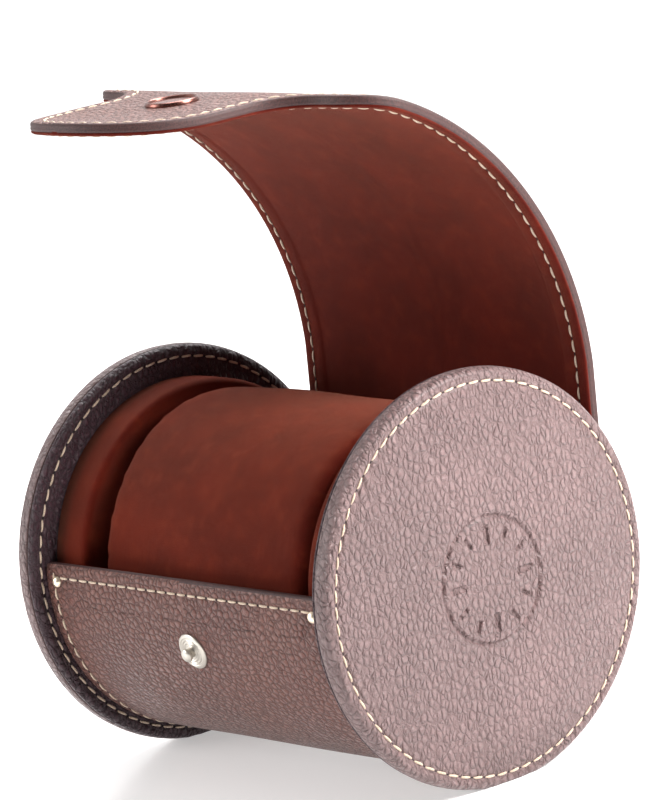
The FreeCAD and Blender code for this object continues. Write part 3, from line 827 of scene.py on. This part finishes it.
def pillow_profile():
    """Half the cushion's outline, from the middle of its side to the centre of its end."""
    rows = []
    for k in range(18):
        x = 33.0 * k / 17
        rows.append((x, 39.0 - 0.6 * (x / 33.0) ** 2, 0))
    for turn in range(10, 81, 10):
        angle = math.radians(turn)
        rows.append((33.4 + 3.1 * math.sin(angle), 34.4 + 3.9 * math.cos(angle), 0))
    rows += [(36.75, 33.6, 0), (37.2, 32.0, 0)]
    for k in range(1, 12):
        r = 31.0 * (1 - k / 11)
        rows.append((40.1 - 2.6 * (r / 31.5) ** 2, r, 0))
    return rows


def pillow_shape(x, r, angle):
    """Soft swells and puckers of a stuffed suede roll."""
    side = min(1.0, max(0.0, (r - 20) / 15))
    r += side * 0.35 * math.sin(2 * angle + 0.5 + x * 0.05)
    r += side * 0.18 * math.sin(5 * angle + x * 0.13)
    near = math.exp(-((abs(x) - 35.2) / 1.6) ** 2) * side
    r -= near * (0.25 + 0.12 * math.sin(41 * angle) + 0.08 * math.sin(67 * angle + 1.0))
    return x, r


half = pillow_profile()
whole = [(-x, r, slot) for x, r, slot in reversed(half)] + half[1:]
pillow = turned("pillow", whole, [SUEDE_SOLID], shape=pillow_shape)
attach(pillow, "pillow")
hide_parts("pillow_core", "pillow_cover", "pillow_left_end", "pillow_right_end")

# ---------------------------------------------------------------- metal parts

def lathe(name, profile, origin, out, material, around=64):
    """Turn (radius, height) about a direction out from an origin."""
    side = Vector((1, 0, 0))
    other = out.cross(side)
    rings = []
    for step in range(around):
        angle = 2 * math.pi * step / around
        ray = side * math.cos(angle) + other * math.sin(angle)
        rings.append([origin + ray * r + out * h for r, h in profile])
    obj = loft(name, rings, lambda row, column: 0, [material], wrap_ring=False, wrap_rows=True)
    tidy_normals(obj)
    obj.data.set_sharp_from_angle(angle=math.radians(32))
    return obj


def radial(degrees_up, distance):
    """A point at the front, and the direction out of the tray there."""
    angle = math.radians(degrees_up)
    out = Vector((0.0, -math.cos(angle), math.sin(angle)))
    return Vector((0.0, 0.0, AXIS_Z)) + out * distance, out


TRAY_R = LINING_R + THICK
STUD_UP = -14.5  # degrees from the level front
RIVET_UP = 2.3
RIVET_X = 46.8

# (radius, height) from the middle out
STUD = [(0.0, 2.8), (0.9, 2.76), (1.35, 2.6), (1.62, 2.3), (1.66, 2.0), (1.5, 1.6), (1.2, 1.3),
        (1.2, 0.6), (1.6, 0.58), (1.75, 0.44), (2.1, 0.42), (2.3, 0.58), (2.5, 0.42), (2.8, 0.4),
        (3.0, 0.56), (3.2, 0.4), (3.5, 0.38), (3.7, 0.54), (3.95, 0.48), (4.25, 0.4), (4.45, 0.22),
        (4.5, 0.0), (4.45, -0.2)]
stud_at, stud_out = radial(STUD_UP, TRAY_R)
stud = lathe("press_stud", STUD, stud_at, stud_out, CHROME)
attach(stud, "case")
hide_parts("stud")

RIVET_DOME = [(0.0, 0.85), (0.4, 0.82), (0.8, 0.7), (1.15, 0.48), (1.35, 0.2), (1.4, 0.0),
              (1.35, -0.15)]
rivet_at, rivet_out = radial(RIVET_UP, TRAY_R)
for side, sign in (("right", 1), ("left", -1)):
    rivet = lathe("front_rivet_" + side, RIVET_DOME, rivet_at + Vector((RIVET_X * sign, 0, 0)),
                  rivet_out, RIVET, 40)
    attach(rivet, "case")
    if side == "right":
        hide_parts("front_rivets")

snap_s = (AT[7] + AT[8]) / 2
snap_out = wrap_out(snap_s)
CAP = [(0.0, 0.62), (2.0, 0.60), (3.8, 0.5), (4.9, 0.36), (5.25, 0.34), (5.4, 0.55), (5.55, 0.85),
       (5.8, 1.0), (6.05, 0.88), (6.2, 0.55), (6.25, 0.2), (6.2, -0.15)]
cap = lathe("snap_cap_dome", CAP, wrap_point(0, snap_s, THICK), snap_out, CAP_METAL, 96)
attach(cap, "lid_8")
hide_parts("snap_cap")

for name in ("snap_socket", "stud_back"):
    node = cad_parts[name]
    node.data.materials.clear()
    node.data.materials.append(CHROME)

# ---------------------------------------------------------------- stage, light, camera

def floor_material():
    """A white table with a soft gloss."""
    n = Nodes("table")
    where = n.place(False)
    n.drive(Base_Color=n.mix(n.noise(where, 0.01), (0.90, 0.90, 0.90, 1), (0.93, 0.93, 0.93, 1)))
    n.fix(Roughness=0.22, Specular_IOR_Level=0.5, Emission_Strength=0.4,
          Emission_Color=(1.0, 1.0, 1.0, 1.0))
    return n.material


FLOOR_HALF = 3000.0
corners = [(FLOOR_HALF * x, FLOOR_HALF * y, -0.05) for x, y in ((-1, -1), (1, -1), (1, 1), (-1, 1))]
floor = finish_mesh("floor", corners, [(0, 1, 2, 3)], [0], [floor_material()])

# the studio: bright ahead of the camera's view, dim behind the camera
world = bpy.data.worlds.new("studio")
world.use_nodes = True
sky = world.node_tree
background = sky.nodes["Background"]
background.inputs["Strength"].default_value = 1.0
heading = sky.nodes.new("ShaderNodeTexCoord")
facing = sky.nodes.new("ShaderNodeVectorMath")
facing.operation = "DOT_PRODUCT"
facing.inputs[1].default_value = (-0.76, 0.60, 0.24)
ramp = sky.nodes.new("ShaderNodeMapRange")
ramp.interpolation_type = "SMOOTHSTEP"
for socket, value in zip(ramp.inputs[1:5], (-0.7, 0.8, 0.16, 1.05)):
    socket.default_value = value
sky.links.new(heading.outputs["Generated"], facing.inputs[0])
sky.links.new(facing.outputs["Value"], ramp.inputs[0])
sky.links.new(ramp.outputs[0], background.inputs["Color"])
bpy.context.scene.world = world
bpy.context.scene.view_settings.view_transform = "Standard"


def area_light(name, place, aim, size, power, colour):
    """A soft rectangular lamp; lengths in metres."""
    data = bpy.data.lights.new(name, "AREA")
    data.shape = "RECTANGLE"
    data.size, data.size_y = size
    data.energy = power
    data.color = colour
    obj = bpy.data.objects.new(name, data)
    obj.location = place
    obj.rotation_euler = (Vector(aim) - Vector(place)).to_track_quat("-Z", "Y").to_euler()
    bpy.context.scene.collection.objects.link(obj)


area_light("key_right", (0.46, 0.26, 0.42), (0.04, 0.0, 0.03), (0.3, 0.3), 9.0,
           (1.0, 0.985, 0.97))
area_light("top_back", (-0.25, 0.45, 0.75), (0.0, 0.0, 0.1), (0.6, 0.4), 9.0, (1.0, 1.0, 1.0))
area_light("front_left", (-0.55, -0.75, 0.35), (0.0, 0.0, 0.06), (0.5, 0.4), 5.0,
           (1.0, 0.99, 0.98))

CAMERA_AT = Vector((0.9119, -0.7309, 0.3117))
RIGHT = Vector((0.6439, 0.7522, -0.1397))
DOWN = Vector((0.0573, -0.2295, -0.9716))
FORWARD = Vector((-0.7630, 0.6176, -0.1910))
lens = bpy.data.cameras.new("camera")
lens.lens = 230.6
lens.sensor_width = 36.0
lens.clip_end = 20.0
camera = bpy.data.objects.new("camera", lens)
up, back = -DOWN, -FORWARD
camera.matrix_world = Matrix(((RIGHT.x, up.x, back.x, CAMERA_AT.x),
                              (RIGHT.y, up.y, back.y, CAMERA_AT.y),
                              (RIGHT.z, up.z, back.z, CAMERA_AT.z), (0, 0, 0, 1)))
bpy.context.scene.collection.objects.link(camera)
bpy.context.scene.camera = camera
